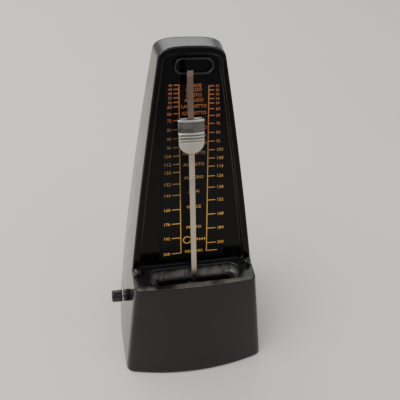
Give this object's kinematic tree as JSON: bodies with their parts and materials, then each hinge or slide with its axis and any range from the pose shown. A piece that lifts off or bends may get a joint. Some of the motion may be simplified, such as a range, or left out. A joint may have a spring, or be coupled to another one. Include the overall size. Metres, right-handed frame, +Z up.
{
  "type": "metronome",
  "caption": "mechanical metronome in a tapered plastic case with a leaning scale, swinging rod, sliding weight, bell and spring-driven train",
  "frame": {"origin": "on the surface the metronome stands on, midway across its width and its depth", "axes": "+X to the right as the player sees it, +Y to the back, +Z up"},
  "size_m": [0.114, 0.1091, 0.22],
  "materials": {
    "case_plastic": "gloss",
    "foot_rubber": "matte",
    "scale_metal": "satin",
    "brass": "satin",
    "blued_steel": "satin",
    "steel": "satin",
    "bell_nickel": "gloss",
    "bob_metal": "satin",
    "weight_nickel": "satin"
  },
  "bodies": {
    "case": {"case_shell": "case_plastic", "base_plate": "case_plastic", "rubber_feet": "foot_rubber", "base_screws": "blued_steel", "scale_plate": "scale_metal", "rod_clip": "case_plastic", "left_plate": "brass", "right_plate": "brass", "plate_pillars": "steel", "pillar_screws": "blued_steel", "mount_brackets": "steel", "movement_screws": "blued_steel", "pivot_bushes": "brass", "front_bridge": "brass", "rear_bridge": "brass", "bell_bridge": "brass", "bell_post": "steel", "bell_dome": "bell_nickel", "bell_screw": "steel", "click_screw": "blued_steel", "click_spring": "steel", "click_spring_screw": "blued_steel", "detent_spring": "steel"},
    "barrel": {"barrel_drum": "brass", "barrel_gear": "brass", "barrel_cover": "brass", "mainspring": "blued_steel"},
    "winding": {"barrel_arbor": "steel", "ratchet_wheel": "steel", "winding_key": "steel"},
    "centre": {"centre_arbor": "steel", "centre_wheel": "brass", "centre_pinion": "steel"},
    "escape": {"escape_arbor": "steel", "escape_pinion": "steel", "escape_wheel": "brass", "bell_cams": "steel"},
    "click": {"click": "brass"},
    "pendulum": {"pendulum_staff": "steel", "pallets": "steel", "rod_hub": "brass", "pendulum_rod": "steel", "hub_rivets": "steel", "lower_bob": "bob_metal", "bob_rivet": "steel"},
    "weight": {"sliding_weight": "weight_nickel", "weight_spring": "blued_steel"},
    "selector": {"selector_rod": "steel", "selector_yoke": "steel", "pull_rod": "steel", "selector_knob": "case_plastic", "selector_collars": "brass", "hammer_spring": "blued_steel"},
    "hammer": {"bell_hammer": "steel", "hammer_head": "brass"}
  },
  "joints": [
    {"name": "pendulum_swing", "type": "hinge", "parent": "case", "child": "pendulum", "pos_m": [0, -0.03412, 0.0527], "axis": [0, 0.9815, -0.1917], "range_deg": [-28.7, 31.3]},
    {"name": "weight_slide", "type": "slide", "parent": "pendulum", "child": "weight", "axis": [-0.0192, 0.1916, 0.9813], "range_m": [-0.1021, 0.0135]},
    {"name": "barrel_turn", "type": "hinge", "parent": "case", "child": "barrel", "pos_m": [0, 0.018, 0.0285], "axis": [1, 0, 0], "continuous": true},
    {"name": "centre_turn", "type": "hinge", "parent": "case", "child": "centre", "pos_m": [0, -0.00656, 0.01881], "axis": [1, 0, 0], "continuous": true},
    {"name": "escape_turn", "type": "hinge", "parent": "case", "child": "escape", "pos_m": [0, -0.01596, 0.03345], "axis": [1, 0, 0], "continuous": true},
    {"name": "winding_turn", "type": "hinge", "parent": "case", "child": "winding", "pos_m": [0, 0.018, 0.0285], "axis": [1, 0, 0], "continuous": true, "deforming": ["mainspring"]},
    {"name": "click_lift", "type": "hinge", "parent": "case", "child": "click", "pos_m": [0, 0.0125, 0.041], "axis": [1, 0, 0], "range_deg": [0, 10], "stiffness_Nm_per_rad": 0.002, "springref_deg": -5.73, "deforming": ["click_spring"]},
    {"name": "selector_slide", "type": "slide", "parent": "case", "child": "selector", "axis": [-1, 0, 0], "range_m": [0, 0.0112], "deforming": ["detent_spring"]},
    {"name": "hammer_swing", "type": "hinge", "parent": "selector", "child": "hammer", "pos_m": [0, 0, 0.048], "axis": [1, 0, 0], "range_deg": [-3, 8], "stiffness_Nm_per_rad": 0.01, "deforming": ["hammer_spring"]}
  ],
  "couplings": [
    {"joint": "centre_turn", "follows": "barrel_turn", "ratio": -4.5},
    {"joint": "escape_turn", "follows": "barrel_turn", "ratio": 21.6}
  ]
}
